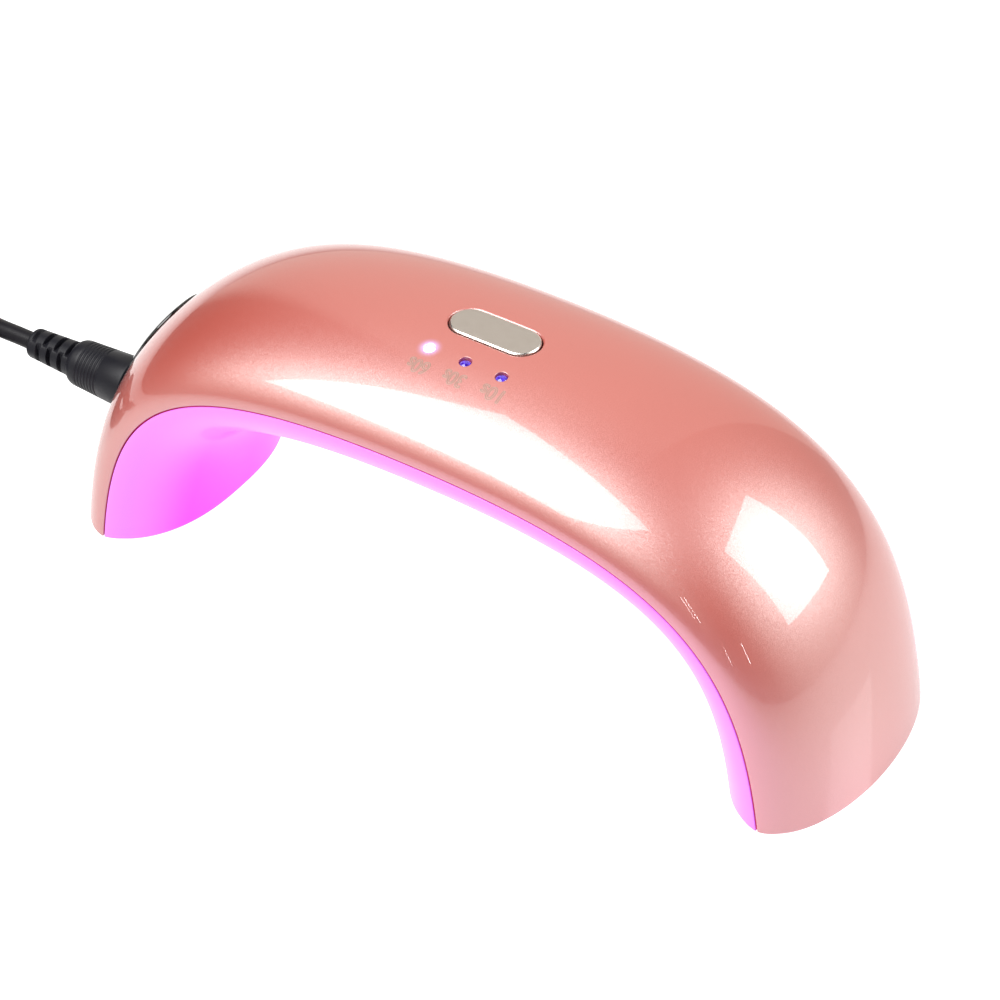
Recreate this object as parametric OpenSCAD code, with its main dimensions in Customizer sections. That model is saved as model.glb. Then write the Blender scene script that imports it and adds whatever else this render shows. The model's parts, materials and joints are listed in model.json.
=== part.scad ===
// Arched UV LED nail lamp on a plug-in USB power lead.
// Millimetres. +X runs along the arch, -Y faces the hand, +Z is up.
// The origin is on the table, under the middle of the arch.

/* [Arch] */
// Half of the span between the two seam ends, at the table
half_span = 80; // [78:1:82]
// Height of the seam at the top of the arch
seam_top = 55.6; // [54:0.4:57]
// Length of the seam's flat handle at the top
top_handle = 59.6; // [58:0.4:61]
// Length of the seam's upright handle at the foot
foot_handle = 40; // [38:1:42]
// Lean of each leg at the table, in degrees
foot_splay = 8; // [6:1:10]
// Half of the arch's width
half_width = 29; // [28.5:0.5:30]
// Height of the outer crown over the seam
crown = 13.2; // [12.8:0.2:13.8]
// Depth of the inner belly under the seam
belly = 14.8; // [14.4:0.2:15.2]

/* [Walls] */
// Thickness of the outer shell
shell_wall = 2.2; // [2:0.1:2.4]
// Thickness of the inner liner
liner_wall = 2.4; // [2.2:0.1:2.6]
// Width of the seam between shell and liner
seam_gap = 0.3; // [0.2:0.05:0.4]
// Height of the foot pads under the shells
pad_drop = 0.3; // [0.2:0.1:0.6]

/* [Button] */
// Length of the button
button_l = 20; // [19:0.2:21]
// Width of the button
button_w = 8.4; // [8:0.2:8.6]
// Height of the button's face over the table
button_top = 68.8; // [68.7:0.05:69]
// Gap around the button
button_gap = 0.3; // [0.25:0.05:0.4]

/* [Indicators] */
// Distance between neighbouring indicator lights
indicator_pitch = 8.4; // [7.6:0.2:9]
// Diameter of an indicator light
indicator_d = 2.4; // [2.2:0.1:2.6]

/* [Lamp head] */
// Distance between neighbouring UV emitters along X
emitter_pitch_x = 18; // [16:0.5:19]
// Distance between neighbouring UV emitters along Y
emitter_pitch_y = 9; // [8.8:0.1:9.2]

/* [Power lead] */
// Height of the jack's axis over the table
jack_z = 16.6; // [16:0.2:17.2]
// Diameter of the lead
cord_d = 4; // [3.8:0.1:4]
// Front diameter of the moulded plug
plug_d = 12; // [11.6:0.2:12.2]

/* [Hidden] */
$fn = 48;

// Steps along the arch and around half a section
arch_steps = 48;
section_steps = 16;
// Squareness of the belly's section, sideways and downwards
belly_side = 2.5;
belly_down = 1.75;
rim = seam_gap / 2;
// Tongue of the liner that stands inside the shell
tongue_y = [25, 26];
tongue_h = 1.5;

// Heights of the stack inside the arch
tray_z = 45.9;
tray_t = 1.5;
led_board_t = 1.6;
led_board_z = tray_z + tray_t;
shell_post_z = led_board_z + led_board_t;
board_z = 58.4;
board_t = 1.2;
board_top = board_z + board_t;
window_xy = [61, 31];
plate_xy = [78, 30.2];
skirt_z = 40;
screw_head_z = 42.6;
case_screw_xy = [35, 11];
board_post_xy = [20, 11];
board_mid_y = -0.5;
button_y = 1.5;
indicator_y = -9.1;
flange_z = 64.5;
indicator_seat_z = 62.9;
indicator_top_z = 68;
plunger_top = flange_z - 0.6;

// The jack's stations along X, from its mouth inwards
jack_mouth_x = -92.5;
jack_seat_x = -88.6;
jack_inner_x = -85.6;
jack_rear_x = -73.6;
plug_front_x = -92.8;
plug_rear_x = -107;
relief_end_x = -120.5;
barrel_l = 9.5;

// The lead: straight out of the plug, down and round to the coil, then out to the far plug
cord_route = [
    [-120.5, 0, 16.6], [-125, 0, 16.6], [-130, 0.1, 16.4], [-134, 0.9, 15.8],
    [-138, 2.7, 14.7], [-142, 5.4, 13.1], [-146, 8.6, 11.2], [-150, 11.6, 9.3],
    [-154, 13.9, 7.8], [-158, 15.3, 6.7], [-161.5, 15.85, 6.2], [-165, 16, 6.05]
];
tail_route = [
    [-194, -13, 2], [-194, -16.5, 2.1], [-194, -20, 2.7],
    [-194, -23, 3.5], [-194, -25.8, 4], [-194, -28.8, 4]
];
coil_mid = [-165, -13];
coil_r = [15.1, 29];
coil_h = 8.1;
usb_y = -35.8;
usb_mould_l = 19;
usb_metal_l = 12;
usb_z = 4;

// Routes of the wires inside the case
supply_route = [
    [-69.4, 0, 17.4], [-69.2, 0, 22], [-69.6, 0, 28], [-68, 0, 34], [-63.5, 0, 40.5],
    [-57, 0, 46], [-49, 0, 50.2], [-40, 0, 53], [-31, 0, 54.6], [-24, 0, 55.6],
    [-20.6, 0, 56.8], [-20, 0, 58.3]
];
led_wire_route = [
    [20, 0, 58.3], [20.1, 0, 56.6], [21.2, 0, 54.6], [23.4, 0, 52.8], [24.6, 0, 51], [24.8, 0, 49.1]
];

// ---- The arch as a formula ----

seam_handles = [
    [0, seam_top],
    [top_handle, seam_top],
    [half_span - foot_handle * sin(foot_splay), foot_handle * cos(foot_splay)],
    [half_span, 0]
];

// A point of the seam, and its direction, for a in 0..1 from the top to the right foot
function bezier(p, a) =
    pow(1 - a, 3) * p[0] + 3 * pow(1 - a, 2) * a * p[1]
    + 3 * (1 - a) * a * a * p[2] + a * a * a * p[3];
function bezier_slope(p, a) =
    3 * pow(1 - a, 2) * (p[1] - p[0]) + 6 * (1 - a) * a * (p[2] - p[1]) + 3 * a * a * (p[3] - p[2]);

// Past the foot the seam runs on straight
function half_seam(a) =
    let (b = min(a, 1)) bezier(seam_handles, b) + bezier_slope(seam_handles, b) * (a - b);
function half_seam_dir(a) = let (d = bezier_slope(seam_handles, min(a, 1))) d / norm(d);

// The point at station t (-1 left foot, 0 top, 1 right foot), across y, and h out from the seam
function arch_point(t, y, h) =
    let (
        s = t < 0 ? -1 : 1,
        p = half_seam(abs(t)),
        d = half_seam_dir(abs(t))
    ) [s * (p.x - d.y * h), y, p.y + d.x * h];

// The station at which height h off the seam reaches the level z
function foot_station(h, z, low = 0.6, high = 1.3, n = 40) =
    let (mid = (low + high) / 2)
    n == 0 ? mid
    : arch_point(mid, 0, h).z > z ? foot_station(h, z, mid, high, n - 1)
    : foot_station(h, z, low, mid, n - 1);

// The height of the surface with offset h at the plan position x
function arch_z(x, h, low = 0, high = 1, n = 24) =
    let (mid = (low + high) / 2)
    n == 0 ? arch_point(mid, 0, h).z
    : arch_point(mid, 0, h).x < x ? arch_z(x, h, mid, high, n - 1)
    : arch_z(x, h, low, mid, n - 1);

// Section heights of the crown and of the belly at the distance y from the middle
function crown_h(y, w, h) = rim + (h - rim) * sqrt(max(0, 1 - pow(y / w, 2)));
function belly_h(y, w, h) =
    let (c = pow(abs(y) / w, belly_side / 2))
    -rim - (h - rim) * pow(max(0, 1 - c * c), 1 / belly_down);

// Half sections as [y, h] lists from -Y to +Y
function crown_arc(w, h) = [
    for (k = [0:section_steps]) let (f = 180 * k / section_steps)
        [-w * cos(f), rim + (h - rim) * sin(f)]
];
function belly_arc(w, h) = [
    for (k = [0:section_steps]) let (f = 180 * k / section_steps, c = cos(f))
        [-w * sign(c) * pow(abs(c), 2 / belly_side), -rim - (h - rim) * pow(max(0, sin(f)), 2 / belly_down)]
];
function reversed(list) = [for (k = [len(list) - 1:-1:0]) list[k]];

// ---- Solids from lists of points ----

// A closed band of rings with flat ends; caps lists the faces of an end, or the whole ring is one
module ring_skin(rings, caps = []) {
    n = len(rings);
    m = len(rings[0]);
    points = [for (ring = rings) each ring];
    walls = [
        for (i = [0:n - 2]) for (k = [0:m - 1])
            let (a = i * m + k, b = i * m + (k + 1) % m)
            each [[a, b, b + m], [a, b + m, a + m]]
    ];
    faces = len(caps) == 0 ? [[for (k = [0:m - 1]) k]] : caps;
    ends = concat([for (f = faces) reversed(f)], [for (f = faces) [for (k = f) (n - 1) * m + k]]);
    polyhedron(points, concat(walls, ends), convexity = 6);
}

// A closed section swept along the arch and cut off level at both feet
module arch_sweep(section, foot_z, caps) {
    rings = [
        for (i = [0:arch_steps]) let (u = 2 * i / arch_steps - 1) [
            for (p = section) let (e = foot_station(p.y, foot_z)) arch_point(u * e, p.x, p.y)
        ]
    ];
    ring_skin(rings, caps);
}

// A round tube along a route; ref is a direction that the route never takes
module tube(route, d, ref, sides = 8) {
    last = len(route) - 1;
    rings = [
        for (i = [0:last])
            let (
                along = route[min(i + 1, last)] - route[max(i - 1, 0)],
                t = along / norm(along),
                side = cross(t, ref),
                u = side / norm(side),
                v = cross(u, t)
            )
            [for (k = [0:sides - 1]) let (f = 360 * k / sides) route[i] + d / 2 * (cos(f) * u + sin(f) * v)]
    ];
    ring_skin(rings);
}

module rounded_rect(l, w, r) {
    square([l - 2 * r, w], center = true);
    square([l, w - 2 * r], center = true);
    for (x = [-1, 1], y = [-1, 1])
        translate([x * (l / 2 - r), y * (w / 2 - r)]) circle(r);
}

module stadium(l, w) {
    square([l - w, w], center = true);
    for (x = [-1, 1]) translate([x * (l - w) / 2, 0]) circle(w / 2);
}

// A cylinder along X from x0 to x1, on the jack's axis
module along_x(x0, x1, r, r_end = 0) {
    translate([x0, 0, jack_z]) rotate([0, 90, 0])
        cylinder(h = x1 - x0, r1 = r, r2 = r_end == 0 ? r : r_end);
}

module at_corners(xy, y_shift = 0) {
    for (x = [-1, 1], y = [-1, 1]) translate([x * xy.x, y * xy.y + y_shift, 0]) children();
}

// ---- Case ----

// Height of the middle of the shell's wall over a plan position
function shell_mid_z(x, y) =
    arch_z(x, crown_h(y, half_width - shell_wall / 2, crown - shell_wall / 2));
function liner_mid_z(x, y) = arch_z(x, belly_h(y, half_width - liner_wall / 2, belly - liner_wall / 2));

module outer_shell() {
    inner_w = half_width - shell_wall;
    inner_h = crown - shell_wall;
    board_post_top = shell_mid_z(board_post_xy.x, board_post_xy.y - board_mid_y);
    case_post_top = shell_mid_z(case_screw_xy.x, case_screw_xy.y);
    section = concat(crown_arc(half_width, crown), reversed(crown_arc(inner_w, inner_h)));
    last = len(section) - 1;
    caps = [for (k = [0:section_steps - 1]) [k, k + 1, last - k - 1, last - k]];
    color("salmon") difference() {
        union() {
            arch_sweep(section, pad_drop, caps);
            at_corners(case_screw_xy) translate([0, 0, shell_post_z])
                cylinder(h = case_post_top - shell_post_z, r = 3);
            at_corners(board_post_xy, board_mid_y) translate([0, 0, board_top])
                cylinder(h = board_post_top - board_top, r = 2.5);
            along_x(-88.2, jack_inner_x, 6.5);
        }
        translate([0, button_y, flange_z]) linear_extrude(10)
            stadium(button_l + 2 * button_gap, button_w + 2 * button_gap);
        for (k = [-1:1]) translate([k * indicator_pitch, indicator_y, 60])
            cylinder(h = 12, d = indicator_d + 0.2);
        at_corners(case_screw_xy) translate([0, 0, shell_post_z - 1]) cylinder(h = 9.5, r = 1.1);
        at_corners(board_post_xy, board_mid_y) translate([0, 0, board_top - 1]) cylinder(h = 5, r = 1);
        along_x(-96, jack_inner_x + 1, 4);
        along_x(-96, jack_seat_x, 5.6);
    }
}

module inner_liner() {
    hidden_w = tongue_y[0];
    hidden_h = belly - liner_wall;
    tongue = [for (p = [[1, -rim], [1, tongue_h], [0, tongue_h]]) [tongue_y[p.x], p.y]];
    tongue_left = [for (p = reversed(tongue)) [-p.x, p.y]];
    hidden = reversed(belly_arc(hidden_w, hidden_h));
    section = reversed(concat(belly_arc(half_width, belly), tongue, hidden, tongue_left));
    // Each end is a ladder of faces between the seen and the hidden wall, and the two tongues
    n = section_steps;
    far = 2 * n + 4;
    ladder = concat(
        [[far + 3, 0, 1], [far + 3, 1, far - 1, far], [n - 1, n, n + 1], [n - 1, n + 1, n + 4, n + 5]],
        [for (k = [1:n - 2]) [k, k + 1, far - k - 1, far - k]],
        [[far, far + 1, far + 2, far + 3], [n + 1, n + 2, n + 3, n + 4]]
    );
    last = len(section) - 1;
    caps = [for (f = ladder) reversed([for (k = f) last - k])];
    boss_z = liner_mid_z(case_screw_xy.x, case_screw_xy.y);
    color("lavender") difference() {
        union() {
            arch_sweep(section, pad_drop, caps);
            at_corners(case_screw_xy) translate([0, 0, boss_z]) cylinder(h = tray_z - boss_z, r = 3.5);
        }
        translate([0, 0, 30]) linear_extrude(20) rounded_rect(window_xy.x, window_xy.y, 4);
        at_corners(case_screw_xy) translate([0, 0, 34]) cylinder(h = screw_head_z - 34, r = 2.2);
        at_corners(case_screw_xy) translate([0, 0, 40]) cylinder(h = 10, r = 1.25);
    }
}

// Glossy oval plate on the shell's left end, with a hole for the jack's nut
module jack_bezel() {
    bottom_t = -0.975;
    top_t = -0.607;
    half_y = 11;
    under = 0.12;
    thick = 0.9;
    rim_t = 0.2;
    sides = 48;
    squareness = 2.6;
    // Fractions of the way from the middle to the oval's edge
    spread = [0.1, 0.2, 0.32, 0.45, 0.6, 0.72, 0.82, 0.9, 0.96, 1];
    function rise(s) = rim_t + (thick - rim_t) * sqrt(max(0, 1 - pow(s, 6)));
    function oval(c) = sign(c) * pow(abs(c), 2 / squareness);
    function ring(s, lift) = [
        for (k = [0:sides - 1])
            let (
                f = 360 * k / sides,
                y = half_y * s * oval(sin(f)),
                t = (bottom_t + top_t) / 2 + s * oval(cos(f)) * (top_t - bottom_t) / 2
            ) arch_point(t, y, crown_h(y, half_width, crown) + under + lift)
    ];
    top = [for (s = spread) ring(s, rise(s))];
    bottom = [for (s = reversed(spread)) ring(s, 0)];
    color([0.06, 0.06, 0.07]) difference() {
        ring_skin(concat(top, bottom));
        along_x(-99, -80, 5.9);
    }
}

// Rubber plug that closes a leg and carries the lamp
module foot_pad() {
    pad_w = 24.4;
    pad_h = 3;
    mid_z = pad_h / 2;
    upper = crown_arc(pad_w, crown - shell_wall - 0.5);
    lower = belly_arc(pad_w, belly - liner_wall - 0.7);
    outline = [
        for (p = concat(upper, reversed(lower)))
            let (q = arch_point(foot_station(p.y, mid_z), p.x, p.y)) [q.x, q.y]
    ];
    linear_extrude(pad_h) polygon(outline);
}

module foot_pad_left() { color("dimgray") mirror([1, 0, 0]) foot_pad(); }
module foot_pad_right() { color("dimgray") foot_pad(); }

// Pan-head screw pointing up, its head's underside at z = 0
module screw(shank_r, shank_l, head_r, head_h) {
    cylinder(h = shank_l, r = shank_r);
    difference() {
        translate([0, 0, -head_h]) cylinder(h = head_h, r = head_r);
        for (f = [0, 90]) rotate(f) translate([0, 0, -head_h])
            cube([2 * shank_r, 0.5, head_h], center = true);
    }
}

module case_screws() {
    color("silver") at_corners(case_screw_xy) translate([0, 0, screw_head_z]) screw(1.05, 14.2, 2, 1.3);
}

// ---- Lamp head ----

module led_tray() {
    color("white") difference() {
        union() {
            translate([0, 0, tray_z]) linear_extrude(tray_t) rounded_rect(plate_xy.x, plate_xy.y, 4);
            translate([0, 0, skirt_z]) linear_extrude(tray_z - skirt_z)
                rounded_rect(window_xy.x - 0.8, window_xy.y - 0.8, 3.6);
        }
        translate([0, 0, skirt_z - 1]) linear_extrude(tray_z - skirt_z + 1)
            rounded_rect(window_xy.x - 4, window_xy.y - 4, 2);
        for (i = [-1:1], k = [-1:1]) translate([i * emitter_pitch_x, k * emitter_pitch_y, tray_z - 0.1])
            cylinder(h = tray_t + 0.2, r1 = 4.35, r2 = 4.1);
        at_corners(case_screw_xy) translate([0, 0, tray_z - 1]) cylinder(h = 4, r = 1.25);
    }
}

module uv_led_board() {
    color("gainsboro") translate([0, 0, led_board_z]) difference() {
        linear_extrude(led_board_t) rounded_rect(plate_xy.x, plate_xy.y, 4);
        at_corners(case_screw_xy) translate([0, 0, -1]) cylinder(h = 4, r = 1.25);
    }
}

module at_emitters() {
    for (i = [-1:1], k = [-1:1])
        translate([i * emitter_pitch_x, k * emitter_pitch_y, led_board_z]) children();
}

module uv_led_bases() {
    color("white") at_emitters() translate([0, 0, -1]) cylinder(h = 1, r = 4);
}

module uv_led_lenses() {
    color("lightyellow") at_emitters() translate([0, 0, -1]) intersection() {
        sphere(r = 2.8);
        translate([0, 0, -2.5]) cylinder(h = 2.5, r = 2.8);
    }
}

// ---- Control electronics ----

module control_board() {
    color("darkgreen") translate([0, board_mid_y, board_z]) difference() {
        linear_extrude(board_t) rounded_rect(46, 28, 2);
        at_corners(board_post_xy) translate([0, 0, -1]) cylinder(h = 4, r = 1.1);
    }
}

module board_screws() {
    color("silver") at_corners(board_post_xy, board_mid_y) translate([0, 0, board_z])
        screw(0.95, 4.8, 1.8, 1.2);
}

module chip(l, w, h, pins) {
    translate([-l / 2, -w / 2, 0.2]) cube([l, w, h - 0.2]);
    for (k = [0:pins - 1], y = [-1, 1])
        translate([(k - (pins - 1) / 2) * l / pins - 0.2, y * (w / 2 + 0.4) - 0.4, 0]) cube([0.4, 0.8, 0.5]);
}

module timer_chip() { color("black") translate([-14, -1, board_top]) chip(5, 4, 1.6, 4); }
module led_driver() { color("black") translate([14, -1, board_top]) chip(5, 4, 1.6, 4); }

module power_inductor() {
    color("darkslategray") translate([11, -5, board_z]) mirror([0, 0, 1]) {
        cylinder(h = 1, r = 3.9);
        cylinder(h = 4.4, r = 2.9);
        translate([0, 0, 3.4]) cylinder(h = 1, r = 3.9);
    }
}

module filter_capacitor() {
    color("navy") translate([-11, -5, board_z]) mirror([0, 0, 1]) {
        cylinder(h = 7, r = 3);
        cylinder(h = 0.8, r = 3.2);
    }
}

module chip_resistors() {
    color("dimgray") for (k = [0:5])
        translate([-13.4 + 5 * k + (k > 2 ? 1.8 : 0), 9.2, board_top]) cube([2, 1.25, 0.55]);
}

module tact_switch() {
    color("gray") translate([0, button_y, board_top]) difference() {
        translate([-3, -3, 0]) cube([6, 6, 3.5]);
        translate([0, 0, 1.8]) cylinder(h = 3, r = 1.8);
    }
}

// Clear light with a flange and a low dome, standing in its hole in the shell
module indicator_led(k) {
    r = indicator_d / 2;
    dome_h = 0.5;
    dome_r = (r * r + dome_h * dome_h) / (2 * dome_h);
    color("mediumpurple") translate([k * indicator_pitch, indicator_y, indicator_seat_z]) {
        cylinder(h = 1, r = r + 0.4);
        intersection() {
            cylinder(h = indicator_top_z - indicator_seat_z, r = r);
            translate([0, 0, indicator_top_z - indicator_seat_z - dome_r]) union() {
                sphere(r = dome_r);
                translate([0, 0, -10]) cylinder(h = 10, r = dome_r);
            }
        }
    }
}
module indicator_led_60s() { indicator_led(-1); }
module indicator_led_30s() { indicator_led(0); }
module indicator_led_10s() { indicator_led(1); }

module indicator_leads() {
    color("silver") for (k = [-1:1], s = [-1, 1])
        translate([k * indicator_pitch + s * 1.27 - 0.25, indicator_y - 0.25, board_top])
            cube([0.5, 0.5, indicator_seat_z - board_top]);
}

// ---- Jack ----

module dc_jack() {
    color([0.1, 0.1, 0.1]) difference() {
        union() {
            along_x(jack_mouth_x, jack_inner_x, 3.9);
            translate([jack_inner_x, -4.5, jack_z - 5]) cube([jack_rear_x - jack_inner_x, 9, 10.5]);
        }
        along_x(jack_mouth_x - 1, plug_front_x + barrel_l + 0.4, 2.8);
        along_x(jack_mouth_x, jack_rear_x + 1, 1);
    }
}

module jack_pin() { color("gold") along_x(jack_mouth_x + 1.3, jack_rear_x + 1.2, 1); }

module jack_terminals() {
    color("silver") for (y = [-3, 3])
        translate([jack_rear_x, y - 1.1, jack_z - 3.5]) cube([4, 2.2, 0.5]);
}

module jack_nut() {
    color("silver") difference() {
        along_x(jack_seat_x - 2, jack_seat_x, 5.2);
        along_x(jack_seat_x - 3, jack_seat_x + 1, 3.9);
        for (f = [0:90:270]) translate([jack_seat_x - 2, 0, jack_z]) rotate([f, 0, 0])
            translate([0, 0, 5.2]) cube([1.6, 1.2, 1.4], center = true);
    }
}

// ---- Inside wires ----

module wire(route, y) { tube([for (p = route) [p.x, p.y + y, p.z]], 1.4, [0, 1, 0]); }
module supply_wire_red() { color("red") wire(supply_route, -3); }
module supply_wire_black() { color("black") wire(supply_route, 3); }
module led_wire_red() { color("red") wire(led_wire_route, 4); }
module led_wire_black() { color("black") wire(led_wire_route, 7); }

// ---- Button ----

module power_button() {
    r = button_w / 2;
    bevel = 0.35;
    bevel_h = 0.35;
    mid_l = button_l - button_w;
    side_z = button_top - bevel_h;
    color("silver") translate([0, button_y, 0]) {
        translate([0, 0, flange_z]) linear_extrude(1) stadium(button_l + 3.4, button_w + 3.2);
        translate([0, 0, flange_z]) linear_extrude(side_z - flange_z) stadium(button_l, button_w);
        translate([-mid_l / 2, 0, side_z]) rotate([90, 0, 90]) linear_extrude(mid_l)
            polygon([[-r, 0], [r, 0], [r - bevel, bevel_h], [bevel - r, bevel_h]]);
        for (x = [-1, 1]) translate([x * mid_l / 2, 0, side_z]) cylinder(h = bevel_h, r1 = r, r2 = r - bevel);
        translate([0, 0, plunger_top]) cylinder(h = flange_z - plunger_top, r = 2);
    }
}

module switch_plunger() {
    color("black") translate([0, button_y, plunger_top - 1.6]) cylinder(h = 1.6, r = 1.7);
}

// ---- Power lead ----

module dc_plug_body() {
    front_r = plug_d / 2;
    rear_r = front_r - 0.75;
    rings = 7;
    ring_pitch = 0.9;
    first_ring = 6.6;
    length = plug_front_x - plug_rear_x;
    function taper(s) = front_r + (rear_r - front_r) * s / length;
    // The grip's fine rings are shallow steps in the tapered profile
    grip = [
        for (k = [0:rings - 1]) let (s = first_ring + k * ring_pitch) each
            [[taper(s), s], [taper(s) - 0.16, s + 0.1], [taper(s) - 0.16, s + 0.4], [taper(s + 0.5), s + 0.5]]
    ];
    profile = concat(
        [[0, 0], [front_r - 0.4, 0], [front_r, 0.4]],
        grip,
        [[rear_r, length - 0.6], [rear_r - 0.2, length + 0.6], [4, length + 1.4], [0, length + 1.4]]
    );
    color([0.12, 0.12, 0.13]) difference() {
        translate([plug_front_x, 0, jack_z]) rotate([0, -90, 0]) rotate_extrude() polygon(profile);
        along_x(plug_front_x - 3, plug_front_x + 1, 2.75);
    }
}

// Slotted sleeve: its slots alternate between the sides and the top and bottom
module plug_relief() {
    front_x = plug_rear_x - 1.4;
    pitch = 3.2;
    core = 2.4;
    slot = 1.1;
    slot_w = 5.4;
    first_slot = 0.7;
    color([0.12, 0.12, 0.13]) difference() {
        union() {
            along_x(relief_end_x + 0.8, front_x, 3.4, 4);
            along_x(relief_end_x, relief_end_x + 0.8, 2.6, 3.4);
        }
        for (s = [-1, 1]) translate([front_x - first_slot, 0, jack_z]) {
            for (k = [0:3]) translate([-k * pitch, 0, s * (core + 2)])
                cube([slot, slot_w, 4], center = true);
            for (k = [0:2]) translate([-(k + 0.5) * pitch, s * (core + 2), 0])
                cube([slot, 4, slot_w], center = true);
        }
    }
}

module plug_tube(r_out, r_in, short) {
    difference() {
        along_x(plug_front_x - 3, plug_front_x + barrel_l - short, r_out);
        along_x(plug_front_x - 4, plug_front_x + barrel_l + 1, r_in);
    }
}
module plug_sleeve() { color("silver") plug_tube(2.75, 2.3, 0); }
module plug_insulator() { color("black") plug_tube(2.3, 1.5, 0.6); }
module plug_contact() { color("gold") plug_tube(1.5, 1.05, 0.3); }

module power_cord() { color([0.14, 0.14, 0.15]) tube(cord_route, cord_d, [0, 0, 1]); }
module cord_tail() { color([0.14, 0.14, 0.15]) tube(tail_route, cord_d, [0, 0, 1]); }

module cord_coil() {
    color([0.14, 0.14, 0.15]) translate(concat(coil_mid, 0)) rotate_extrude()
        translate([coil_r[0] - cord_d / 2, 0]) square([coil_r[1] - coil_r[0] + cord_d, coil_h]);
}

// Strap round the coil's turns, on the side away from the lamp
module coil_tie() {
    strap = 0.8;
    inner = coil_r[0] - cord_d / 2 - 0.1;
    outer = coil_r[1] + cord_d / 2 + 0.1;
    color("black") translate(concat(coil_mid, 0)) rotate(-60) difference() {
        translate([inner - strap, -4, 0]) cube([outer - inner + 2 * strap, 8, coil_h + 0.1 + strap]);
        translate([inner, -5, 0.4]) cube([outer - inner, 10, coil_h - 0.3]);
    }
}

module at_usb() { translate([tail_route[0].x, usb_y, usb_z]) rotate([90, 0, 0]) children(); }

module usb_plug_body() {
    color([0.12, 0.12, 0.13]) at_usb() difference() {
        union() {
            linear_extrude(usb_mould_l) rounded_rect(15, 8, 1.8);
            translate([0, 0, -7]) cylinder(h = 7, r1 = 2.6, r2 = 3.5);
        }
        translate([0, 0, 14]) linear_extrude(6) square([12, 4.5], center = true);
    }
}

module usb_shell() {
    color("silver") at_usb() translate([0, 0, 14]) difference() {
        linear_extrude(usb_mould_l - 14 + usb_metal_l) square([12, 4.5], center = true);
        translate([0, 0, 1]) linear_extrude(40) square([11.4, 3.9], center = true);
        for (x = [-1, 1]) translate([x * 2.9, 0, 12]) cube([2.4, 20, 2.4], center = true);
    }
}

module usb_tongue() {
    color("white") at_usb() translate([-5.7, -1.95, 15]) cube([11.4, 1.9, 15.4]);
}

module usb_contacts() {
    color("gold") at_usb() for (k = [0:3])
        translate([-4 + k * 2.33, -0.05, 22]) cube([1, 0.2, 7.6]);
}

outer_shell();
inner_liner();
jack_bezel();
foot_pad_left();
foot_pad_right();
case_screws();
led_tray();
uv_led_board();
uv_led_bases();
uv_led_lenses();
control_board();
board_screws();
timer_chip();
led_driver();
power_inductor();
filter_capacitor();
chip_resistors();
tact_switch();
indicator_led_60s();
indicator_led_30s();
indicator_led_10s();
indicator_leads();
dc_jack();
jack_pin();
jack_terminals();
jack_nut();
supply_wire_red();
supply_wire_black();
led_wire_red();
led_wire_black();
power_button();
switch_plunger();
dc_plug_body();
plug_relief();
plug_sleeve();
plug_insulator();
plug_contact();
power_cord();
cord_coil();
cord_tail();
coil_tie();
usb_plug_body();
usb_shell();
usb_tongue();
usb_contacts();
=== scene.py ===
"""Looks of an arched UV LED nail lamp with its plug-in power lead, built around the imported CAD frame.

Lengths are written in millimetres and turned into metres by MM where a mesh, curve or light is made.
+X runs along the arch, -Y faces the hand, +Z is up, and the floor is at z = 0.
"""

import json
import math

import bmesh
import bpy
import numpy as np
from mathutils import Matrix, Vector


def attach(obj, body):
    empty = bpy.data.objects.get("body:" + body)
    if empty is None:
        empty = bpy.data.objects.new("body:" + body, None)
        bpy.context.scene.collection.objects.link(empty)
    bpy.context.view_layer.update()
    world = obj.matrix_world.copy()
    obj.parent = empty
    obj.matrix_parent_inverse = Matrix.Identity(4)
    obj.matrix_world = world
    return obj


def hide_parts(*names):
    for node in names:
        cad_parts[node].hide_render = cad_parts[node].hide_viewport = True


MM = 0.001
LAMP, BUTTON, LEAD = "lamp", "button", "power_lead"

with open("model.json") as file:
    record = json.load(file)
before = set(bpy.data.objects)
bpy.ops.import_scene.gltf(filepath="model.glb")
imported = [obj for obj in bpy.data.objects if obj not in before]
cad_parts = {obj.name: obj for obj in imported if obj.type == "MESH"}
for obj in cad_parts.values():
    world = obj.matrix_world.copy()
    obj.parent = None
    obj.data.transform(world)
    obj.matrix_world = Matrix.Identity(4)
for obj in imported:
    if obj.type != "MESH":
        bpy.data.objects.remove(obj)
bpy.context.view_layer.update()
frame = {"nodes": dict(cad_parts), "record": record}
scene = bpy.context.scene
scene.view_settings.view_transform = "Standard"


# ---- Camera ----


def direction(azimuth, elevation):
    """A unit vector turned from -Y towards +X by the azimuth, and up by the elevation."""
    across = math.cos(elevation)
    return Vector((math.sin(azimuth) * across, -math.cos(azimuth) * across, math.sin(elevation)))


def make_camera():
    azimuth, elevation, roll = math.radians(33.53), math.radians(40.09), math.radians(-0.28)
    distance = 703.6
    target = Vector((1.86, 0, 27.53))
    back = direction(azimuth, elevation)
    right = Vector((math.cos(azimuth), math.sin(azimuth), 0))
    turned_right = Matrix.Rotation(roll, 3, back) @ right
    turned_up = back.cross(turned_right)
    data = bpy.data.cameras.new("camera")
    data.sensor_width = 36
    data.lens = 124.97
    data.clip_start, data.clip_end = 0.01, 20
    camera = bpy.data.objects.new("camera", data)
    axes = Matrix((turned_right, turned_up, back)).transposed()
    camera.matrix_world = Matrix.Translation((target + back * distance) * MM) @ axes.to_4x4()
    scene.collection.objects.link(camera)
    scene.camera = camera


# ---- Mesh helpers ----


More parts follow.
